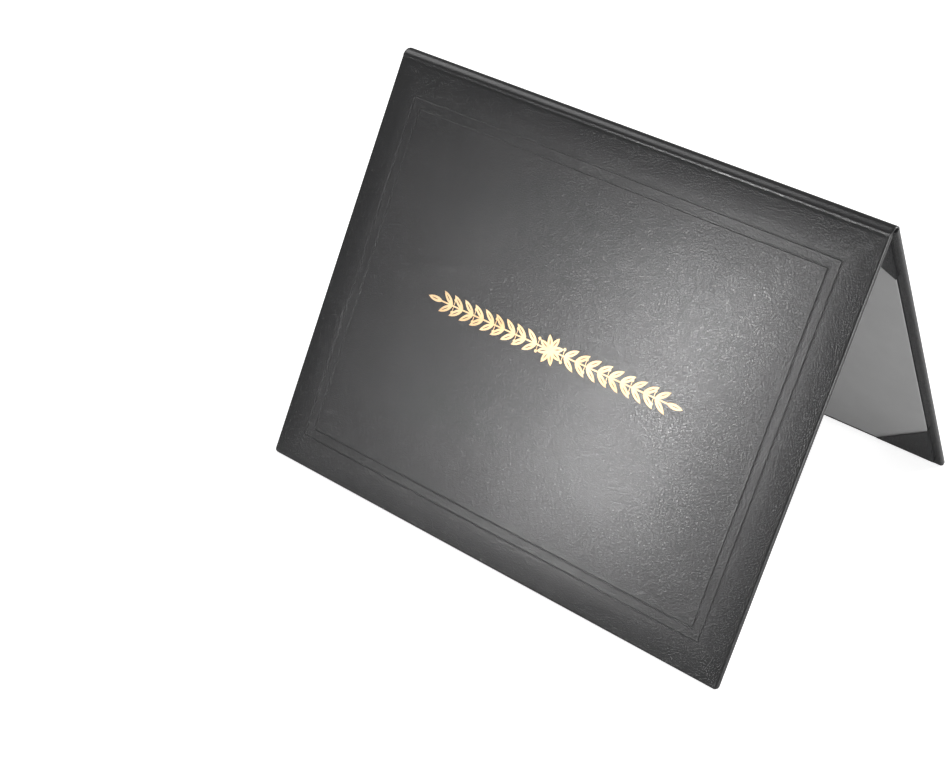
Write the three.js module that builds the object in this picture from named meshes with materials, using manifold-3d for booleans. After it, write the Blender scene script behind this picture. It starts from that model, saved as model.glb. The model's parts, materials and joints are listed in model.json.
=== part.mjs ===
// A padded presentation cover for a certificate, standing open like a tent on its two fore edges.
// Two stiff boards are bound in one sheet of leatherette that is turned in round their edges and
// runs across the soft spine between them. Inside are two paper-covered linings, and the back one
// has a leatherette pocket over each of its corners. The front has a blind-tooled double frame and
// a gold foil ornament. Millimetres, +Z up; X runs along the spine and the front cover faces -Y.
// The origin is on the floor, under the middle of the spine.
import * as THREE from "three";
import { mergeVertices } from "three/addons/utils/BufferGeometryUtils.js";
import Module from "manifold-3d";

const wasm = await Module();
wasm.setup();

// Covers
const coverWidth = 292.1;
const coverHeight = 228.6;
const openingAngle = THREE.MathUtils.degToRad(58.4);
const boardThickness = 2.1;
const wrapThickness = 0.45;
const turnInWidth = 16;
const edgeRadius = 1.1;
const cornerRadius = 2;
const glueGap = 0.1;

// Padding and tooled frame of the front
const crownHeight = 1.2;
const crownRun = 15;
const frameInsets = [22.3, 17];
const frameSpineShift = 2;
const frameLineWidth = 0.9;
const frameLineDepth = 0.25;
const frameLineSlope = 0.2;

// Linings
const liningThickness = 0.5;
const liningMargin = 5;
const liningSpineMargin = 4;

// Corner pockets
const pocketLeg = 35;
const pocketThickness = 0.35;
const pocketSlot = 0.3;
const pocketFlap = 8;

// Spine
const linerThickness = 0.35;
const linerFlapWidth = 14;
const closedGap = 0.4;
const hingeClearance = 0.2;

// Foil ornament
const foilThickness = 0.1;
const foilRise = 2.3;
const foilRuleHalf = 0.4;
const rosettePetals = 8;
const rosetteReach = 8;
const petalHalfWidth = 1.55;
const rosetteCentre = 1.7;
const leafPairs = 9;
const leafPitch = 6.9;
const firstLeaf = 8.6;
const leafLength = 9.4;
const leafHalfWidth = 1.45;
const leafTurn = THREE.MathUtils.degToRad(37);
const midribShare = 0.34;
const berryRadius = 0.85;
const berryReach = 0.7;
const berryRise = 3.4;

// Fineness of curves
const cornerSteps = 4;
const edgeSteps = 4;
const crownSteps = 7;
const spineSteps = 18;
const leastCorner = 0.15;

// What follows from these sizes
const tilt = openingAngle / 2;
const halfWidth = coverWidth / 2;
const skin = wrapThickness + glueGap;
const panelThickness = boardThickness + 2 * skin;
const backLiningLift = pocketThickness + 2 * glueGap;
const frontStack = panelThickness + glueGap + liningThickness;
const pocketRise = pocketSlot + pocketThickness;
const backStack = panelThickness + backLiningLift + liningThickness + pocketRise;
const halfChord = (frontStack + backStack + closedGap) / 2;
const spineArc = Math.PI / 2 - tilt;
const spineRadius = halfChord / Math.sin(spineArc);
const creaseHeight =
  (coverHeight - edgeRadius) * Math.cos(tilt) +
  (panelThickness - edgeRadius) * Math.sin(tilt) +
  edgeRadius;

const leatherette = new THREE.MeshStandardMaterial({
  color: 0x4b4b4d,
  roughness: 0.48,
  metalness: 0,
});
const liningPaper = new THREE.MeshStandardMaterial({
  color: 0xb4b4b4,
  roughness: 0.85,
  metalness: 0,
});
const greyBoard = new THREE.MeshStandardMaterial({
  color: 0x8f8b84,
  roughness: 0.95,
  metalness: 0,
});
const foam = new THREE.MeshStandardMaterial({
  color: 0xe4e1d8,
  roughness: 1,
  metalness: 0,
});
const goldFoil = new THREE.MeshStandardMaterial({
  color: 0xe8c98f,
  roughness: 0.3,
  metalness: 1,
});

// Solids and geometries for the boolean cuts
function toSolid(geometry) {
  const bare = geometry.index ? geometry.toNonIndexed() : geometry.clone();
  bare.deleteAttribute("normal");
  bare.deleteAttribute("uv");
  const merged = mergeVertices(bare, 1e-4);
  return new wasm.Manifold(
    new wasm.Mesh({
      numProp: 3,
      vertProperties: merged.attributes.position.array,
      triVerts: new Uint32Array(merged.index.array),
    }),
  );
}

function toGeometry(solid) {
  const mesh = solid.getMesh();
  const geometry = new THREE.BufferGeometry();
  geometry.setAttribute(
    "position",
    new THREE.BufferAttribute(new Float32Array(mesh.vertProperties), 3),
  );
  geometry.setIndex(new THREE.BufferAttribute(new Uint32Array(mesh.triVerts), 1));
  geometry.computeVertexNormals();
  return geometry;
}

function block(low, high) {
  const [x, y, z] = high.map((value, axis) => value - low[axis]);
  const geometry = new THREE.BoxGeometry(x, y, z);
  geometry.translate(low[0] + x / 2, low[1] + y / 2, low[2] + z / 2);
  return geometry;
}

function named(name, geometry, material) {
  const mesh = new THREE.Mesh(geometry, material);
  mesh.name = name;
  return mesh;
}

// A cover is modelled lying flat: its crease on y = 0, its fore edge at y = -coverHeight, its outer
// face up at z = 0 and its inner face at z = -panelThickness.

// One closed turn round a plan, moved inwards by an inset.
function ringPoints(plan, inset, z) {
  const radius = Math.max(plan.corner - inset, leastCorner);
  const right = plan.halfWidth - inset - radius;
  const bottom = plan.bottom + inset + radius;
  const top = plan.top - inset - (plan.shift ? plan.shift(inset) : 0) - radius;
  const centres = [
    [right, top],
    [-right, top],
    [-right, bottom],
    [right, bottom],
  ];
  return centres.flatMap(([x, y], corner) =>
    Array.from({ length: cornerSteps + 1 }, (_, step) => {
      const angle = (corner + step / cornerSteps) * (Math.PI / 2);
      return [x + radius * Math.cos(angle), y + radius * Math.sin(angle), z];
    }),
  );
}

// A solid whose section at every edge is one profile of [inset, z] pairs, which starts at the middle
// of the upper face, runs out to the edge and comes back to the middle of the lower face.
function loft(plan, profile) {
  const rings = profile.map(([inset, z]) => ringPoints(plan, inset, z));
  const count = rings[0].length;
  const middleY = (plan.top + plan.bottom) / 2;
  const positions = rings.flat();
  const upper = positions.push([0, middleY, profile[0][1]]) - 1;
  const lower = positions.push([0, middleY, profile.at(-1)[1]]) - 1;
  const last = (rings.length - 1) * count;
  const faces = [];
  for (let j = 0; j < count; j++) {
    const next = (j + 1) % count;
    faces.push(upper, j, next);
    faces.push(lower, last + next, last + j);
    for (let i = 0; i < rings.length - 1; i++) {
      const a = i * count;
      const b = a + count;
      faces.push(a + j, b + j, b + next);
      faces.push(a + j, b + next, a + next);
    }
  }
  const geometry = new THREE.BufferGeometry();
  geometry.setAttribute("position", new THREE.Float32BufferAttribute(positions.flat(), 3));
  geometry.setIndex(faces);
  geometry.computeVertexNormals();
  return geometry;
}

// Height of the padded face at an inset from the edge
function crownAt(inset, crown) {
  const run = THREE.MathUtils.clamp((inset - edgeRadius) / crownRun, 0, 1);
  return crown * Math.sin((run * Math.PI) / 2);
}

function crownInsets() {
  return Array.from(
    { length: crownSteps + 1 },
    (_, step) => edgeRadius + crownRun * (1 - step / crownSteps),
  );
}

// A quarter turn of the wrap round the board's edge, between two of the profile's directions
function edgeTurn(radius, height, from) {
  return Array.from({ length: edgeSteps + 1 }, (_, step) => {
    const angle = from + (step / edgeSteps) * (Math.PI / 2);
    return [edgeRadius - radius * Math.sin(angle), height + radius * Math.cos(angle)];
  });
}

function frameLine(inset, height) {
  const half = frameLineWidth / 2;
  const floor = height - frameLineDepth;
  return [
    [inset + half, height],
    [inset + half - frameLineSlope, floor],
    [inset - half + frameLineSlope, floor],
    [inset - half, height],
  ];
}

// The leatherette of one cover: outer face, turned edges and turn-ins, open at the spine
function coverWrap(crown, tooled) {
  const plan = {
    halfWidth,
    top: edgeRadius,
    bottom: -coverHeight,
    corner: cornerRadius,
    shift: (inset) =>
      frameSpineShift * THREE.MathUtils.clamp((inset - edgeRadius) / crownRun, 0, 1),
  };
  const upperTurn = -edgeRadius;
  const lowerTurn = edgeRadius - panelThickness;
  const innerRadius = edgeRadius - wrapThickness;
  const field = Math.max(...frameInsets) + frameLineWidth;
  const outside = [
    [field, crown],
    ...(tooled ? frameInsets.flatMap((inset) => frameLine(inset, crown)) : []),
    ...crownInsets().map((inset) => [inset, crownAt(inset, crown)]).slice(0, -1),
    ...edgeTurn(edgeRadius, upperTurn, 0),
    ...edgeTurn(edgeRadius, lowerTurn, Math.PI / 2),
    [turnInWidth, -panelThickness],
  ];
  const inside = [
    [turnInWidth, wrapThickness - panelThickness],
    ...edgeTurn(innerRadius, lowerTurn, Math.PI / 2).reverse(),
    ...edgeTurn(innerRadius, upperTurn, 0).reverse(),
    ...crownInsets()
      .reverse()
      .slice(1)
      .map((inset) => [inset, crownAt(inset, crown) - wrapThickness]),
    [field, crown - wrapThickness],
  ];
  const beyond = 2 * panelThickness;
  const pastCrease = block([-coverWidth, 0, -beyond], [coverWidth, beyond, beyond]);
  const openSide = block(
    [turnInWidth - halfWidth, -turnInWidth - frameSpineShift, -beyond],
    [halfWidth - turnInWidth, beyond, wrapThickness + glueGap / 2 - panelThickness],
  );
  return toGeometry(
    toSolid(loft(plan, [...outside, ...inside]))
      .subtract(toSolid(pastCrease))
      .subtract(toSolid(openSide)),
  );
}

// The stiff board, with its sharp edges taken off
function coverBoard() {
  const ease = innerEase();
  const plan = {
    halfWidth: halfWidth - skin,
    top: -linerThickness - 2 * glueGap,
    bottom: skin - coverHeight,
    corner: cornerRadius - skin,
  };
  return loft(plan, [
    [ease, -skin],
    [0, -skin - ease],
    [0, skin + ease - panelThickness],
    [ease, skin - panelThickness],
  ]);
}

// A square edge inside the rounded turn of the wrap needs this much taken off it
function innerEase() {
  return edgeRadius - wrapThickness;
}

// Foam under the front's face, thinning out towards the edges
function coverPad() {
  const start = 4;
  const plan = {
    halfWidth,
    top: 0,
    bottom: -coverHeight,
    corner: cornerRadius,
    shift: (inset) =>
      frameSpineShift * THREE.MathUtils.clamp((inset - edgeRadius) / crownRun, 0, 1),
  };
  const topAt = (inset) => [inset, crownAt(inset - edgeRadius, crownHeight) - skin];
  return loft(plan, [
    ...crownInsets()
      .map((inset) => inset + edgeRadius)
      .filter((inset) => inset > start)
      .map(topAt),
    topAt(start),
    [start, glueGap - skin],
  ]);
}

// Paper-covered card on the inner face
function coverLining(lift) {
  const near = -panelThickness - lift;
  return block(
    [liningMargin - halfWidth, liningMargin - coverHeight, near - liningThickness],
    [halfWidth - liningMargin, -liningSpineMargin, near],
  );
}

// The hinge liner where it lies on a board: a strip on the inner face and a lip up the spine edge
function linerFlap() {
  const face = skin - panelThickness - glueGap;
  const section = new THREE.Shape([
    new THREE.Vector2(-linerFlapWidth, face - linerThickness),
    new THREE.Vector2(-glueGap, face - linerThickness),
    new THREE.Vector2(-glueGap, -skin),
    new THREE.Vector2(-glueGap - linerThickness, -skin),
    new THREE.Vector2(-glueGap - linerThickness, face),
    new THREE.Vector2(-linerFlapWidth, face),
  ]);
  return alongSpine(section, halfWidth - turnInWidth - glueGap);
}

// A section drawn in (y, z), run along X to both sides of the middle
function alongSpine(section, half) {
  const geometry = new THREE.ExtrudeGeometry(section, {
    depth: 2 * half,
    bevelEnabled: false,
    curveSegments: spineSteps,
  });
  const axes = new THREE.Matrix4().makeBasis(
    new THREE.Vector3(0, 1, 0),
    new THREE.Vector3(0, 0, 1),
    new THREE.Vector3(1, 0, 0),
  );
  geometry.applyMatrix4(axes);
  geometry.translate(-half, 0, 0);
  return geometry;
}

// A leatherette triangle folded round the lining's corner: a face over the lining, with a slot for
// the sheet under it, a wall along each edge and a glued flap behind each edge.
// The lining's corner is at the origin, its edges run along +X and +Y, and its back is at z = 0.
function cornerPocket() {
  const out = glueGap + pocketThickness;
  const faceLevel = -liningThickness - pocketSlot;
  const triangle = new THREE.Shape([
    new THREE.Vector2(-out, -out),
    new THREE.Vector2(pocketLeg, -out),
    new THREE.Vector2(-out, pocketLeg),
  ]);
  const prism = new THREE.ExtrudeGeometry(triangle, {
    depth: out + pocketThickness - faceLevel,
    bevelEnabled: false,
  });
  prism.translate(0, 0, faceLevel - pocketThickness);
  const cardSpace = block(
    [-glueGap, -glueGap, faceLevel],
    [2 * pocketLeg, 2 * pocketLeg, glueGap],
  );
  const flapWindow = block([pocketFlap, pocketFlap, 0], [2 * pocketLeg, 2 * pocketLeg, 2 * out]);
  return toGeometry(
    toSolid(prism).subtract(toSolid(cardSpace)).subtract(toSolid(flapWindow)),
  );
}

// Foil ornament: a laurel branch to each side of a rosette, all one stamping

// One leaf from the origin along +X
function leaf(length, halfWidth) {
  const bulge = halfWidth * 1.36;
  const shape = new THREE.Shape();
  shape.moveTo(0, 0);
  shape.bezierCurveTo(length * 0.22, bulge, length * 0.68, bulge, length, 0);
  shape.bezierCurveTo(length * 0.68, -bulge, length * 0.22, -bulge, 0, 0);
  return shape;
}

// The bare sliver that a leaf's midrib leaves
function midrib(length, halfWidth) {
  const bulge = halfWidth * midribShare;
  const shape = new THREE.Shape();
  shape.moveTo(length * 0.3, 0);
  shape.quadraticCurveTo(length * 0.5, bulge, length * 0.8, 0);
  shape.quadraticCurveTo(length * 0.5, -bulge, length * 0.3, 0);
  return shape;
}

function disc(radius) {
  const shape = new THREE.Shape();
  shape.absarc(0, 0, radius, 0, 2 * Math.PI, false);
  return shape;
}

// A shape made solid, turned about the origin and moved to its place
function shapeSolid(shape, [x, y], turn, low, high) {
  const geometry = new THREE.ExtrudeGeometry(shape, {
    depth: high - low,
    bevelEnabled: false,
    curveSegments: 6,
  });
  geometry.rotateZ(turn);
  geometry.translate(x, y, low);
  return toSolid(geometry);
}

function stamped(shape, place, turn = 0) {
  return shapeSolid(shape, place, turn, 0, foilThickness);
}

function ribbedLeaf(length, halfWidth, place, turn) {
  const rib = shapeSolid(midrib(length, halfWidth), place, turn, -foilThickness, 2 * foilThickness);
  return stamped(leaf(length, halfWidth), place, turn).subtract(rib);
}

function rosette() {
  const petals = Array.from({ length: rosettePetals }, (_, k) =>
    ribbedLeaf(rosetteReach, petalHalfWidth, [0, 0], (2 * Math.PI * (k + 0.5)) / rosettePetals),
  );
  return [...petals, stamped(disc(rosetteCentre), [0, 0])];
}

// A round berry on a short stalk, above or below the stem
function berry(x, edge) {
  const stalk = stamped(leaf(berryRise, foilRuleHalf / 2), [x, 0], (edge * Math.PI) / 2);
  return [stalk, stamped(disc(berryRadius), [x, edge * berryRise])];
}

// A branch along +X, or along -X when the side is -1
function laurelBranch(side) {
  const along = side < 0 ? Math.PI : 0;
  const solids = [];
  for (let k = 0; k < leafPairs; k++) {
    const x = side * (firstLeaf + k * leafPitch);
    for (const edge of [-1, 1]) {
      const turn = along + edge * leafTurn;
      solids.push(ribbedLeaf(leafLength, leafHalfWidth, [x, 0], turn));
      if (k % 2 === 0) {
        solids.push(...berry(x - side * berryReach, edge));
      }
    }
  }
  const tip = side * (firstLeaf + leafPairs * leafPitch);
  solids.push(ribbedLeaf(leafLength, leafHalfWidth, [tip, 0], along));
  return solids;
}

function foilOrnament() {
  const stemEnd = firstLeaf + (leafPairs + 0.3) * leafPitch;
  const stem = block([-stemEnd, -foilRuleHalf, 0], [stemEnd, foilRuleHalf, foilThickness]);
  const solids = [...rosette(), ...laurelBranch(-1), ...laurelBranch(1)];
  const joined = solids.reduce((whole, solid) => whole.add(solid), toSolid(stem));
  const geometry = toGeometry(joined);
  geometry.translate(0, foilRise - coverHeight / 2, crownHeight + glueGap);
  return geometry;
}

// Spine: an arc of the same sheet, tangent to both covers, with the liner glued inside it
function spineLayer(outerRadius, thickness) {
  const depth = spineRadius - outerRadius + thickness;
  const endLift = depth * Math.tan(tilt) + hingeClearance;
  const reach = spineArc - endLift / spineRadius;
  const from = Math.PI / 2 - reach;
  const to = Math.PI / 2 + reach;
  const section = new THREE.Shape();
  section.absarc(0, 0, outerRadius, from, to, false);
  section.absarc(0, 0, outerRadius - thickness, to, from, true);
  return section;
}

function spineGroup() {
  const linerRadius = spineRadius - wrapThickness - glueGap;
  const group = new THREE.Group();
  group.position.set(0, 0, creaseHeight - spineRadius * Math.cos(spineArc));
  group.add(
    named(
      "spine_strip",
      alongSpine(spineLayer(spineRadius, wrapThickness), halfWidth),
      leatherette,
    ),
    named(
      "spine_liner",
      alongSpine(spineLayer(linerRadius, linerThickness), halfWidth - cornerRadius),
      leatherette,
    ),
  );
  return group;
}

// Hangs a flat cover from its crease at the tent's slope
function hungCover(pieces) {
  const cover = new THREE.Group();
  cover.add(...pieces);
  cover.position.set(0, -halfChord, creaseHeight);
  cover.rotation.x = Math.PI / 2 - tilt;
  return cover;
}

function frontCover() {
  return hungCover([
    named("front_wrap", coverWrap(crownHeight, true), leatherette),
    named("front_board", coverBoard(), greyBoard),
    named("front_pad", coverPad(), foam),
    named("front_lining", coverLining(glueGap), liningPaper),
    named("front_liner_flap", linerFlap(), leatherette),
    named("foil_ornament", foilOrnament(), goldFoil),
  ]);
}

function backPockets() {
  const near = -panelThickness - backLiningLift;
  const right = halfWidth - liningMargin;
  const low = liningMargin - coverHeight;
  const high = -liningSpineMargin;
  const corners = [
    ["pocket_fore_right", -right, low, 0],
    ["pocket_fore_left", right, low, 1],
    ["pocket_spine_left", right, high, 2],
    ["pocket_spine_right", -right, high, 3],
  ];
  return corners.map(([name, x, y, quarter]) => {
    const pocket = named(name, cornerPocket(), leatherette);
    pocket.position.set(x, y, near);
    pocket.rotation.z = (quarter * Math.PI) / 2;
    return pocket;
  });
}

function backCover() {
  const turned = new THREE.Group();
  turned.rotation.z = Math.PI;
  turned.add(
    hungCover([
      named("back_wrap", coverWrap(0, false), leatherette),
      named("back_board", coverBoard(), greyBoard),
      named("back_lining", coverLining(backLiningLift), liningPaper),
      named("back_liner_flap", linerFlap(), leatherette),
      ...backPockets(),
    ]),
  );
  return turned;
}

const diplomaCover = new THREE.Group();
diplomaCover.add(frontCover(), spineGroup(), backCover());

export default diplomaCover;
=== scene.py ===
"""A padded presentation cover standing like a tent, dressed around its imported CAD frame.

Each half of the leatherette is one sheet from the turn-in at the fore edge, over the padded face and
the crease, to the middle of the spine. Blender replaces the leatherette, the padding and the hinge
liner. The boards, linings, corner pockets and foil are the CAD's own meshes with a finish.
"""
import json
import math

import bmesh
import bpy
from mathutils import Matrix, Vector, noise


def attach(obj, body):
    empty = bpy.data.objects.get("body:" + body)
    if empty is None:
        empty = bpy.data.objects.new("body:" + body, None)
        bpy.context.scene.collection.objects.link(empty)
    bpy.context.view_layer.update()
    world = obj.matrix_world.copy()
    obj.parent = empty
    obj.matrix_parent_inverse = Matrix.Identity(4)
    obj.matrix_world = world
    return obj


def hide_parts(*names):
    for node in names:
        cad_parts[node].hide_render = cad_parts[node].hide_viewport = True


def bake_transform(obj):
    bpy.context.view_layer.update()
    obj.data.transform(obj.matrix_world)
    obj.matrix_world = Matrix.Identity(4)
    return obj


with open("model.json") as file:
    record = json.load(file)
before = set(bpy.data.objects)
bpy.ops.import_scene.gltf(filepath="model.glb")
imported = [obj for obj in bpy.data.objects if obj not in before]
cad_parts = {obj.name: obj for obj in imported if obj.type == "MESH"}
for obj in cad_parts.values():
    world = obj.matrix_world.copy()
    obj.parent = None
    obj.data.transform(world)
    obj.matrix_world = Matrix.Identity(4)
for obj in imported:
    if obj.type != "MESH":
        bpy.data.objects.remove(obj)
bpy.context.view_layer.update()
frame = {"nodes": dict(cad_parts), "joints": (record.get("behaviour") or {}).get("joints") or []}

MM = 0.001

# Cover sizes in millimetres, the same values as the CAD source except for the pillow and the lines
COVER_WIDTH = 292.1
COVER_HEIGHT = 228.6
BOARD = 2.1
WRAP = 0.45
GLUE = 0.1
EDGE_RADIUS = 1.1
CORNER_RADIUS = 2.0
PILLOW_HEIGHT = 1.36
CROWN_RUN = 15.0
PILLOW_RUN = 78.0
PILLOW_SHARE = 0.72
TURN_IN = 16.0
FRAME_INSETS = (17.0, 22.3)
FRAME_SPINE_SHIFT = 2.0
FRAME_HALF_WIDTH = 0.42
FRAME_DEPTH = 0.18
FRAME_LIP = 0.012
LINER = 0.35
TILT = math.radians(58.4 / 2)

# What follows from them
HALF_WIDTH = COVER_WIDTH / 2
SKIN = WRAP + GLUE
PANEL = BOARD + 2 * SKIN
FRONT_HINGE = Vector(frame["joints"][0]["pos_m"])
HALF_CHORD = abs(FRONT_HINGE.y) / MM
CREASE_HEIGHT = FRONT_HINGE.z / MM
SPINE_ARC = math.pi / 2 - TILT
SPINE_RADIUS = HALF_CHORD / math.sin(SPINE_ARC)
SPINE_HALF_LENGTH = SPINE_RADIUS * SPINE_ARC


def smoothstep(low, high, value):
    share = min(max((value - low) / (high - low), 0), 1)
    return share * share * (3 - 2 * share)


# Materials
def add_node(tree, kind, values=None, **settings):
    node = tree.nodes.new(kind)
    for name, value in settings.items():
        setattr(node, name, value)
    for name, value in (values or {}).items():
        node.inputs[name].default_value = value
    return node


def math_node(tree, operation, first, second=0.5):
    node = add_node(tree, "ShaderNodeMath", operation=operation)
    for socket, value in zip(node.inputs, (first, second)):
        if isinstance(value, (int, float)):
            socket.default_value = value
        else:
            tree.links.new(value, socket)
    return node.outputs[0]


def new_material(name):
    material = bpy.data.materials.new(name)
    material.use_nodes = True
    tree = material.node_tree
    shader = tree.nodes["Principled BSDF"]
    place = add_node(tree, "ShaderNodeTexCoord").outputs["Object"]
    return material, tree, shader, place


def leatherette():
    """Dark grey coated leatherette with a fine pebble grain."""
    material, tree, shader, place = new_material("leatherette")
    link = tree.links.new
    warp = add_node(tree, "ShaderNodeTexNoise", {"Scale": 420.0, "Detail": 2.0})
    link(place, warp.inputs["Vector"])
    offset = add_node(tree, "ShaderNodeVectorMath", operation="MULTIPLY_ADD")
    offset.inputs[1].default_value = (0.0006, 0.0006, 0.0006)
    link(warp.outputs["Color"], offset.inputs[0])
    link(place, offset.inputs[2])
    pebbles = add_node(tree, "ShaderNodeTexVoronoi", {"Scale": 980.0}, feature="DISTANCE_TO_EDGE")
    link(offset.outputs[0], pebbles.inputs["Vector"])
    valleys = add_node(
        tree, "ShaderNodeMapRange", {"From Max": 0.17}, interpolation_type="SMOOTHSTEP"
    )
    link(pebbles.outputs["Distance"], valleys.inputs["Value"])
    clusters = add_node(tree, "ShaderNodeTexNoise", {"Scale": 1250.0, "Detail": 2.0})
    link(place, clusters.inputs["Vector"])
    grain = math_node(
        tree,
        "ADD",
        math_node(tree, "MULTIPLY", valleys.outputs["Result"], 0.3),
        math_node(tree, "MULTIPLY", clusters.outputs["Fac"], 0.8),
    )
    bump = add_node(tree, "ShaderNodeBump", {"Strength": 1.0, "Distance": 0.00007})
    link(grain, bump.inputs["Height"])
    link(bump.outputs["Normal"], shader.inputs["Normal"])
    tone = add_node(tree, "ShaderNodeTexNoise", {"Scale": 14.0, "Detail": 4.0})
    link(place, tone.inputs["Vector"])
    colour = add_node(tree, "ShaderNodeValToRGB")
    colour.color_ramp.elements[0].position = 0.3
    colour.color_ramp.elements[0].color = (0.029, 0.029, 0.030, 1)
    colour.color_ramp.elements[1].position = 0.75
    colour.color_ramp.elements[1].color = (0.037, 0.037, 0.038, 1)
    link(tone.outputs["Fac"], colour.inputs["Fac"])
    link(colour.outputs["Color"], shader.inputs["Base Color"])
    for socket, in_valleys, on_pebbles in (
        ("Roughness", 0.25, 0.17),
        ("Specular IOR Level", 0.4, 0.8),
    ):
        spread = {"From Min": 0.35, "From Max": 0.8, "To Min": in_valleys, "To Max": on_pebbles}
        share = add_node(tree, "ShaderNodeMapRange", spread)
        link(grain, share.inputs["Value"])
        link(share.outputs["Result"], shader.inputs[socket])
    return material


def lining_paper():
    """Light grey coated paper with a soft mottle and fine fibres."""
    material, tree, shader, place = new_material("lining_paper")
    link = tree.links.new
    mottle = add_node(tree, "ShaderNodeTexNoise", {"Scale": 55.0, "Detail": 6.0, "Roughness": 0.6})
    link(place, mottle.inputs["Vector"])
    colour = add_node(tree, "ShaderNodeValToRGB")
    colour.color_ramp.elements[0].position = 0.25
    colour.color_ramp.elements[0].color = (0.52, 0.52, 0.52, 1)
    colour.color_ramp.elements[1].position = 0.75
    colour.color_ramp.elements[1].color = (0.56, 0.56, 0.56, 1)
    link(mottle.outputs["Fac"], colour.inputs["Fac"])
    link(colour.outputs["Color"], shader.inputs["Base Color"])
    fibres = add_node(tree, "ShaderNodeTexNoise", {"Scale": 1700.0, "Detail": 3.0})
    link(place, fibres.inputs["Vector"])
    bump = add_node(tree, "ShaderNodeBump", {"Strength": 0.18, "Distance": 0.00008})
    link(fibres.outputs["Fac"], bump.inputs["Height"])
    link(bump.outputs["Normal"], shader.inputs["Normal"])
    shader.inputs["Roughness"].default_value = 0.6
    return material


def raw_board(name, light, dark, scale):
    """Grey board or foam, hidden inside, with a plain speckle."""
    material, tree, shader, place = new_material(name)
    speckle = add_node(tree, "ShaderNodeTexNoise", {"Scale": scale, "Detail": 5.0})
    tree.links.new(place, speckle.inputs["Vector"])
    colour = add_node(tree, "ShaderNodeValToRGB")
    colour.color_ramp.elements[0].color = (*dark, 1)
    colour.color_ramp.elements[1].color = (*light, 1)
    tree.links.new(speckle.outputs["Fac"], colour.inputs["Fac"])
    tree.links.new(colour.outputs["Color"], shader.inputs["Base Color"])
    shader.inputs["Roughness"].default_value = 0.95
    return material


def gold_foil():
    """Hot-stamped foil that still shows the grain under it."""
    material, tree, shader, place = new_material("gold_foil")
    link = tree.links.new
    tint = add_node(tree, "ShaderNodeTexNoise", {"Scale": 90.0, "Detail": 4.0})
    link(place, tint.inputs["Vector"])
    colour = add_node(tree, "ShaderNodeValToRGB")
    colour.color_ramp.elements[0].position = 0.3
    colour.color_ramp.elements[0].color = (0.74, 0.48, 0.26, 1)
    colour.color_ramp.elements[1].position = 0.7
    colour.color_ramp.elements[1].color = (0.86, 0.62, 0.37, 1)
    link(tint.outputs["Fac"], colour.inputs["Fac"])
    link(colour.outputs["Color"], shader.inputs["Base Color"])
    grain = add_node(tree, "ShaderNodeTexNoise", {"Scale": 800.0, "Detail": 2.0})
    link(place, grain.inputs["Vector"])
    bump = add_node(tree, "ShaderNodeBump", {"Strength": 0.5, "Distance": 0.0002})
    link(grain.outputs["Fac"], bump.inputs["Height"])
    link(bump.outputs["Normal"], shader.inputs["Normal"])
    shader.inputs["Metallic"].default_value = 0.85
    shader.inputs["Roughness"].default_value = 0.38
    return material


LEATHERETTE = leatherette()
LINING_PAPER = lining_paper()
GREY_BOARD = raw_board("grey_board", (0.33, 0.31, 0.28), (0.2, 0.19, 0.17), 700.0)
FOAM = raw_board("foam_pad", (0.8, 0.77, 0.7), (0.68, 0.65, 0.58), 900.0)
GOLD_FOIL = gold_foil()


# Placing
def front_to_world(x, s, height):
    """A point of the front cover's sheet: x along the spine, s up from the crease along the sheet
    (below 0 on the panel, above 0 round the spine), height above its outer face, all in mm."""
    if s <= 0:
        y = -HALF_CHORD + s * math.sin(TILT) - height * math.cos(TILT)
        z = CREASE_HEIGHT + s * math.cos(TILT) + height * math.sin(TILT)
    else:
        angle = SPINE_ARC - s / SPINE_RADIUS
        radius = SPINE_RADIUS + height
        y = -radius * math.sin(angle)
        z = CREASE_HEIGHT - SPINE_RADIUS * math.cos(SPINE_ARC) + radius * math.cos(angle)
    return Vector((x, y, z)) * MM


HALF_TURN = Matrix.Rotation(math.pi, 4, "Z")


def placed(points, side):
    """Points of the front half as they are, or turned half round for the back half."""
    world = [front_to_world(*point) for point in points]
    return world if side == "front" else [HALF_TURN @ point for point in world]


# The sheet of leatherette
def spaced(low, high, step):
    count = max(1, math.ceil((high - low) / step))
    return [low + (high - low) * k / count for k in range(count + 1)]


def groove_stops(position):
    """Sample places across one tooled line, close enough that its walls shade nothing beside them."""
    half = (0, 0.3, 0.6, 1, 1.35, 1.7, 2.1, 2.7, 3.8)
    shares = [-share for share in half[:0:-1]] + list(half)
    return [position + FRAME_HALF_WIDTH * share for share in shares]


def merged(stops, least):
    """Sorted stops without those closer than least to the one before."""
    kept = []
    for stop in sorted(stops):
        if not kept or stop - kept[-1] > least:
            kept.append(stop)
    return kept


FACE_START = 3.0
CREASE_WIDTH = 1.3
CREASE_DEPTH = 0.12
CREASE_CENTRE = -0.4
WAVE_HEIGHT = 0.09
WAVE_LENGTH = 46.0
RIPPLE_HEIGHT = 0.006
RIPPLE_LENGTH = 13.0
LEAST_FOAM = 0.03
TURN_STEPS = 6


def crown_at(inset, crown):
    """The pad's rise from an edge: a short soft shoulder and a long shallow pillow."""
    shoulder = math.sin(min(max((inset - EDGE_RADIUS) / CROWN_RUN, 0), 1) * math.pi / 2)
    pillow = math.sin(min(max((inset - EDGE_RADIUS) / PILLOW_RUN, 0), 1) * math.pi / 2)
    return crown * (PILLOW_SHARE * pillow + (1 - PILLOW_SHARE) * shoulder)


def groove_at(distance):
    """Depth of a tooled line at a distance from its middle: a flat floor with soft walls."""
    share = abs(distance) / FRAME_HALF_WIDTH
    depth = FRAME_DEPTH * (1 - smoothstep(0.45, 1.05, share))
    return depth - FRAME_LIP * math.exp(-((share - 1.35) ** 2) * 9)


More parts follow.
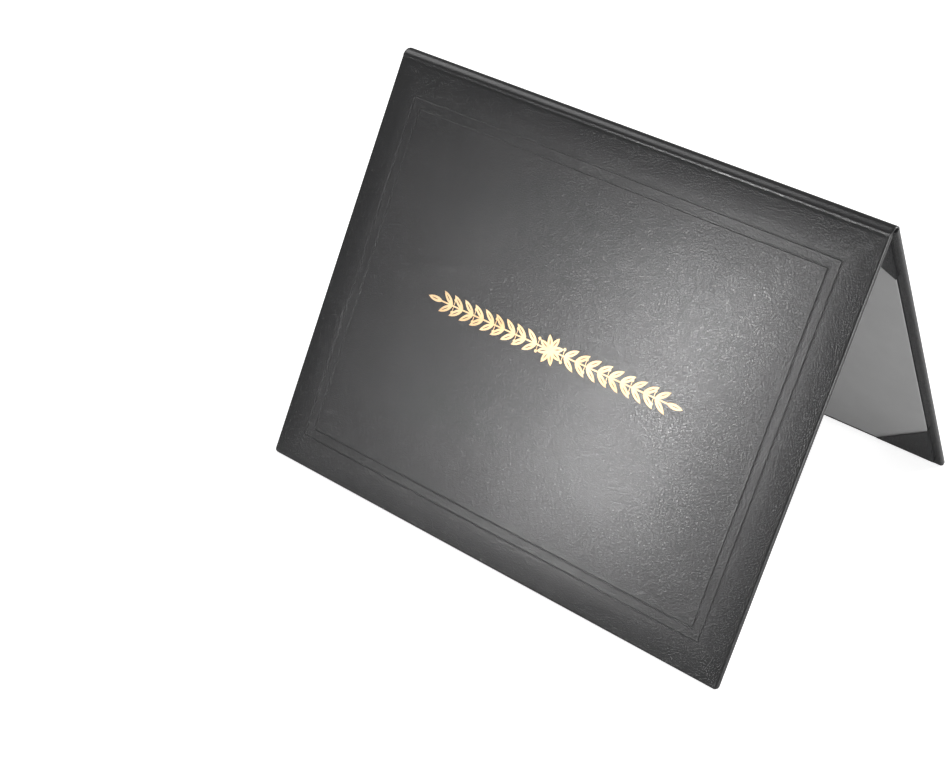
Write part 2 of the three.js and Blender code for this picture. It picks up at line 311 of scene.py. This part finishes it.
def soft_least(*values):
    """The least of the values, with the mitre lines between them rounded off."""
    blend = 0.07
    return max(0.0, -blend * math.log(sum(math.exp(-value / blend) for value in values)))


def frame_depth(x, s):
    """Depth of the double frame at a point of the face."""
    deepest = 0.0
    for inset in FRAME_INSETS:
        from_side = HALF_WIDTH - abs(x) - inset
        from_fore = COVER_HEIGHT + s - inset
        from_spine = -s - (inset + FRAME_SPINE_SHIFT - EDGE_RADIUS)
        nearest = min(from_side, from_fore, from_spine)
        depth = groove_at(nearest)
        if abs(depth) > abs(deepest):
            deepest = depth
    return deepest


def unevenness(x, s, seed):
    """The soft waves of a glued sheet over a pad."""
    point = Vector((x / WAVE_LENGTH, s / WAVE_LENGTH, seed))
    fine = Vector((x / RIPPLE_LENGTH, s / RIPPLE_LENGTH, seed + 7.0))
    return WAVE_HEIGHT * noise.noise(point) + RIPPLE_HEIGHT * noise.noise(fine)


def face_height(x, s, side):
    """Height of the leatherette's outer face above the board's plane."""
    crown = PILLOW_HEIGHT if side == "front" else 0.0
    inset = min(HALF_WIDTH - abs(x), COVER_HEIGHT + s)
    height = soft_least(
        crown_at(HALF_WIDTH - abs(x), crown),
        crown_at(COVER_HEIGHT + s, crown),
        crown_at(EDGE_RADIUS - s, crown),
    )
    height -= CREASE_DEPTH * math.exp(-(((s - CREASE_CENTRE) / CREASE_WIDTH) ** 2) * 2)
    fade = smoothstep(1.5, 14, inset)
    height += unevenness(x, s, 1.0 if side == "front" else 4.0) * fade * (0.7 if s < 0 else 0.25)
    if side == "front":
        height -= frame_depth(x, s)
    return height


def ring(inset, height, legs, bottom):
    """A U round the cover at an inset from its edge: down one side, along the fore edge, up the
    other side. legs are places up the sides, counted from the crease."""
    radius = max(CORNER_RADIUS - inset, 0.0)
    side = HALF_WIDTH - inset
    low = -COVER_HEIGHT + inset
    right = [(side, max(s, low + radius), height) for s in legs]
    corner = [
        (
            side - radius + radius * math.cos(turn),
            low + radius - radius * math.sin(turn),
            height,
        )
        for turn in (k * math.pi / 2 / TURN_STEPS for k in range(TURN_STEPS + 1))
    ]
    end = side - radius
    along = [(min(max(x, -end), end), low, height) for x in bottom]
    left_corner = [(-x, s, z) for x, s, z in reversed(corner)]
    left = [(-x, s, z) for x, s, z in reversed(right)]
    return right + corner + along + left_corner + left


def wrap_mesh(side):
    """One half of the leatherette, from the turn-ins to the middle of the spine."""
    spine_end = SPINE_HALF_LENGTH
    top_frame = [-(inset + FRAME_SPINE_SHIFT - EDGE_RADIUS) for inset in FRAME_INSETS]
    rows = spaced(-COVER_HEIGHT + FACE_START, -0.001, 4.0)
    rows += spaced(-CROWN_RUN - 4, 0, 1.2) + spaced(-2.4, 1.6, 0.2)
    rows += spaced(0, spine_end - 0.04, 0.35) + [spine_end]
    rows += spaced(-COVER_HEIGHT + FACE_START, -COVER_HEIGHT + CROWN_RUN + 2, 1.0)
    columns = spaced(-HALF_WIDTH + FACE_START, HALF_WIDTH - FACE_START, 4.0)
    shoulder = spaced(HALF_WIDTH - CROWN_RUN - 2, HALF_WIDTH - FACE_START, 1.0)
    for sign in (-1, 1):
        columns += [sign * value for value in shoulder]
    if side == "front":
        for stop in top_frame + [-COVER_HEIGHT + inset for inset in FRAME_INSETS]:
            rows += groove_stops(stop)
        for inset in FRAME_INSETS:
            columns += groove_stops(HALF_WIDTH - inset) + groove_stops(inset - HALF_WIDTH)
    rows = merged(rows, 0.03)
    columns = merged(columns, 0.03)
    mesh = bmesh.new()
    grid = [
        [mesh.verts.new(placed([(x, s, face_height(x, s, side))], side)[0]) for x in columns]
        for s in rows
    ]
    for low, high in zip(grid, grid[1:]):
        for k in range(len(columns) - 1):
            mesh.faces.new((low[k], low[k + 1], high[k + 1], high[k]))

    # Rings from the face's rim out over the edge and back under the board
    legs = rows[::-1][:-1]
    bottom = columns[::-1][1:-1]
    path = [(inset, None) for inset in (FACE_START, 2.2, 1.6, EDGE_RADIUS)]
    for step in range(1, TURN_STEPS + 1):
        turn = step * math.pi / 2 / TURN_STEPS
        path.append((EDGE_RADIUS * (1 - math.sin(turn)), -EDGE_RADIUS * (1 - math.cos(turn))))
    for step in range(TURN_STEPS + 1):
        turn = step * math.pi / 2 / TURN_STEPS
        inset = EDGE_RADIUS * (1 - math.cos(turn))
        path.append((inset, EDGE_RADIUS - PANEL - EDGE_RADIUS * math.sin(turn)))
    path += [(FACE_START, -PANEL), (TURN_IN, -PANEL)]
    rings = []
    for inset, height in path:
        points = ring(inset, height, legs, bottom)
        if height is None:
            points = [(x, s, face_height(x, s, side)) for x, s, _ in points]
        else:
            points = [(x, s, under_spine(s, height)) for x, s, height in points]
        rings.append([mesh.verts.new(point) for point in placed(points, side)])
    for inner, outer in zip(rings, rings[1:]):
        for k in range(len(inner) - 1):
            mesh.faces.new((inner[k], inner[k + 1], outer[k + 1], outer[k]))
    bmesh.ops.remove_doubles(mesh, verts=mesh.verts, dist=2e-6)
    bmesh.ops.dissolve_degenerate(mesh, edges=mesh.edges, dist=1e-7)
    return mesh


def under_spine(s, height):
    """The turned edge gets thinner where the board stops and only the spine's cloth is left."""
    strip = WRAP + GLUE + LINER
    share = smoothstep(-0.3, 1.2, s)
    thin = height * (strip + 0.3) / PANEL
    return height * (1 - share) + thin * share


def to_object(mesh, name, material):
    """Ends a bmesh as a shaded object with its finish."""
    bmesh.ops.recalc_face_normals(mesh, faces=mesh.faces)
    data = bpy.data.meshes.new(name)
    mesh.to_mesh(data)
    mesh.free()
    data.polygons.foreach_set("use_smooth", [True] * len(data.polygons))
    piece = bpy.data.objects.new(name, data)
    bpy.context.scene.collection.objects.link(piece)
    data.materials.append(material)
    return piece


def apply_modifiers(piece):
    graph = bpy.context.evaluated_depsgraph_get()
    solid = bpy.data.meshes.new_from_object(piece.evaluated_get(graph))
    piece.modifiers.clear()
    piece.data = solid
    return piece


def thicken(piece, thickness):
    """Gives a sheet its thickness, inwards."""
    solid = piece.modifiers.new("thickness", "SOLIDIFY")
    solid.thickness = thickness * MM
    solid.offset = -1
    solid.use_even_offset = False
    apply_modifiers(piece)
    piece.data.set_sharp_from_angle(angle=math.radians(50))
    return piece


def bend_over_crease(piece):
    """Bakes the piece's placement into its mesh; it is not attached to its cover or the spine."""
    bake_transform(piece)


def cover_wrap(side):
    piece = to_object(wrap_mesh(side), f"{side}_leatherette", LEATHERETTE)
    thicken(piece, WRAP)
    bend_over_crease(piece)
    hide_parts(f"{side}_wrap")
    return piece


def front_padding():
    """The foam under the front's face, thinning out to its edges."""
    margin = 4.0
    mesh = bmesh.new()
    rows = spaced(margin - COVER_HEIGHT, -margin, 8.0)
    columns = spaced(margin - HALF_WIDTH, HALF_WIDTH - margin, 8.0)
    layers = []
    for top in (True, False):
        layers.append([])
        for s in rows:
            points = []
            for x in columns:
                height = GLUE - SKIN
                if top:
                    height = max(face_height(x, s, "front") - SKIN - GLUE, height + LEAST_FOAM)
                points.append((x, s, height))
            layers[-1].append([mesh.verts.new(point) for point in placed(points, "front")])
    upper, lower = layers
    last_row = len(rows) - 1
    last_column = len(columns) - 1
    for j in range(last_row):
        for k in range(last_column):
            mesh.faces.new((upper[j][k], upper[j][k + 1], upper[j + 1][k + 1], upper[j + 1][k]))
            mesh.faces.new((lower[j][k], lower[j + 1][k], lower[j + 1][k + 1], lower[j][k + 1]))
    for j in range(last_row):
        for k in (0, last_column):
            mesh.faces.new((upper[j][k], upper[j + 1][k], lower[j + 1][k], lower[j][k]))
    for k in range(last_column):
        for j in (0, last_row):
            mesh.faces.new((upper[j][k], lower[j][k], lower[j][k + 1], upper[j][k + 1]))
    piece = to_object(mesh, "front_padding", FOAM)
    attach(piece, "front_cover")
    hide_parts("front_pad")


front_padding()
front_sheet = cover_wrap("front")
cover_wrap("back")
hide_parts("spine_strip")


# The hinge liner: a strip from the board, round the inside of the spine, to its middle
def hinge_liner(side):
    half = HALF_WIDTH - TURN_IN + 8
    inner = -(PANEL - SKIN) - GLUE - LINER
    under_skin = -SKIN - GLUE - LINER
    path = [(-14.0, inner), (-3.0, inner), (-1.0, inner + 0.05)]
    for step in range(1, 9):
        turn = step / 8
        path.append((-1.0 + 1.6 * turn, inner + (under_skin - inner) * smoothstep(0, 1, turn)))
    path += [(s, under_skin) for s in spaced(1.0, SPINE_HALF_LENGTH - 0.05, 0.5)]
    path.append((SPINE_HALF_LENGTH, under_skin))
    mesh = bmesh.new()
    columns = spaced(-half, half, 8.0)
    grid = [
        [mesh.verts.new(placed([(x, s, height)], side)[0]) for x in columns] for s, height in path
    ]
    for low, high in zip(grid, grid[1:]):
        for k in range(len(columns) - 1):
            mesh.faces.new((low[k], high[k], high[k + 1], low[k + 1]))
    piece = to_object(mesh, f"{side}_hinge_liner", LEATHERETTE)
    thicken(piece, LINER)
    bend_over_crease(piece)
    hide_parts(f"{side}_liner_flap")
    return piece


front_liner = hinge_liner("front")
hinge_liner("back")
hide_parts("spine_liner")


# Carried-over nodes
def finish_node(name, material, bevel=None):
    node = frame["nodes"][name]
    node.data.materials.clear()
    node.data.materials.append(material)
    if bevel:
        rounding = node.modifiers.new("rounding", "BEVEL")
        rounding.width = bevel * MM
        rounding.segments = 3
        rounding.limit_method = "ANGLE"
        rounding.angle_limit = math.radians(40)
        rounding.harden_normals = True


for cover in ("front", "back"):
    finish_node(f"{cover}_lining", LINING_PAPER, bevel=0.2)
    finish_node(f"{cover}_board", GREY_BOARD)
finish_node("foil_ornament", GOLD_FOIL, bevel=0.04)
for corner in ("fore_left", "fore_right", "spine_left", "spine_right"):
    finish_node(f"pocket_{corner}", LEATHERETTE, bevel=0.15)


# Camera, fitted to the photo's straight edges
def camera():
    data = bpy.data.cameras.new("camera")
    data.sensor_width = 36.0
    data.lens = 69.35
    view = bpy.data.objects.new("camera", data)
    bpy.context.scene.collection.objects.link(view)
    azimuth, elevation, roll = (math.radians(value) for value in (38.90, 35.0, -0.80))
    forward = Vector(
        (
            -math.sin(azimuth) * math.cos(elevation),
            math.cos(azimuth) * math.cos(elevation),
            -math.sin(elevation),
        )
    )
    right = Vector((math.cos(azimuth), math.sin(azimuth), 0))
    down = forward.cross(right)
    turned_right = math.cos(roll) * right + math.sin(roll) * down
    turned_down = -math.sin(roll) * right + math.cos(roll) * down
    target = Vector((-0.01535, -0.10194, 0.1))
    distance = 0.90107
    view.matrix_world = Matrix.Translation(target - forward * distance) @ Matrix(
        (turned_right, -turned_down, -forward)
    ).transposed().to_4x4()
    bpy.context.scene.camera = view


camera()


# Light
def area_light(name, place, aim, size, power):
    data = bpy.data.lights.new(name, "AREA")
    data.shape = "RECTANGLE"
    data.size, data.size_y = size
    data.energy = power
    lamp = bpy.data.objects.new(name, data)
    bpy.context.scene.collection.objects.link(lamp)
    lamp.location = place
    lamp.rotation_euler = (Vector(aim) - Vector(place)).to_track_quat("-Z", "Y").to_euler()
    return lamp


def strip_light(name, azimuth, elevation, distance, size, power):
    """An upright softbox aimed at the front's bright band, from a bearing left or right of it."""
    turn = math.radians(azimuth)
    rise = math.radians(elevation)
    aim = Vector((0.07, -0.064, 0.095))
    way = Vector((math.sin(turn) * math.cos(rise), -math.cos(turn) * math.cos(rise), math.sin(rise)))
    return area_light(name, aim + way * distance, aim, size, power)


strip_light("key", -26.6, 17.0, 1.5, (0.05, 0.5), 5.6)
strip_light("broad", -30.0, 17.0, 1.5, (0.12, 0.6), 0.5)
area_light("side", (1.5, -0.5, 0.35), (0.05, 0, 0.1), (0.7, 0.7), 13.0)
area_light("back", (0.75, 1.25, 0.62), (0, 0.05, 0.1), (0.9, 0.6), 16.0)
area_light("top", (-0.75, 0.1, 1.25), (0, 0, 0.15), (0.8, 0.8), 5.0)


def studio_world():
    world = bpy.data.worlds.new("studio")
    bpy.context.scene.world = world
    world.use_nodes = True
    tree = world.node_tree
    tree.nodes.clear()
    output = add_node(tree, "ShaderNodeOutputWorld")
    light = add_node(tree, "ShaderNodeBackground", {"Color": (1, 1, 1, 1), "Strength": 0.14})
    white = add_node(tree, "ShaderNodeBackground", {"Color": (1, 1, 1, 1), "Strength": 1.0})
    rays = add_node(tree, "ShaderNodeLightPath")
    choice = add_node(tree, "ShaderNodeMixShader")
    tree.links.new(rays.outputs["Is Camera Ray"], choice.inputs[0])
    tree.links.new(light.outputs[0], choice.inputs[1])
    tree.links.new(white.outputs[0], choice.inputs[2])
    tree.links.new(choice.outputs[0], output.inputs["Surface"])


studio_world()


def floor():
    """A white floor that fades into the backdrop and keeps the cover's shadow."""
    mesh = bmesh.new()
    bmesh.ops.create_grid(mesh, x_segments=1, y_segments=1, size=3.0)
    data = bpy.data.meshes.new("floor")
    mesh.to_mesh(data)
    mesh.free()
    ground = bpy.data.objects.new("floor", data)
    bpy.context.scene.collection.objects.link(ground)
    material, tree, shader, _ = new_material("floor")
    shader.inputs["Base Color"].default_value = (0.8, 0.8, 0.8, 1)
    shader.inputs["Roughness"].default_value = 0.9
    glow = add_node(tree, "ShaderNodeEmission", {"Color": (1, 1, 1, 1), "Strength": 0.8})
    seen = add_node(tree, "ShaderNodeAddShader")
    rays = add_node(tree, "ShaderNodeLightPath")
    choice = add_node(tree, "ShaderNodeMixShader")
    output = tree.nodes["Material Output"]
    tree.links.new(shader.outputs[0], seen.inputs[0])
    tree.links.new(glow.outputs[0], seen.inputs[1])
    tree.links.new(rays.outputs["Is Camera Ray"], choice.inputs[0])
    tree.links.new(shader.outputs[0], choice.inputs[1])
    tree.links.new(seen.outputs[0], choice.inputs[2])
    tree.links.new(choice.outputs[0], output.inputs["Surface"])
    data.materials.append(material)


floor()

bpy.context.scene.view_settings.view_transform = "Standard"
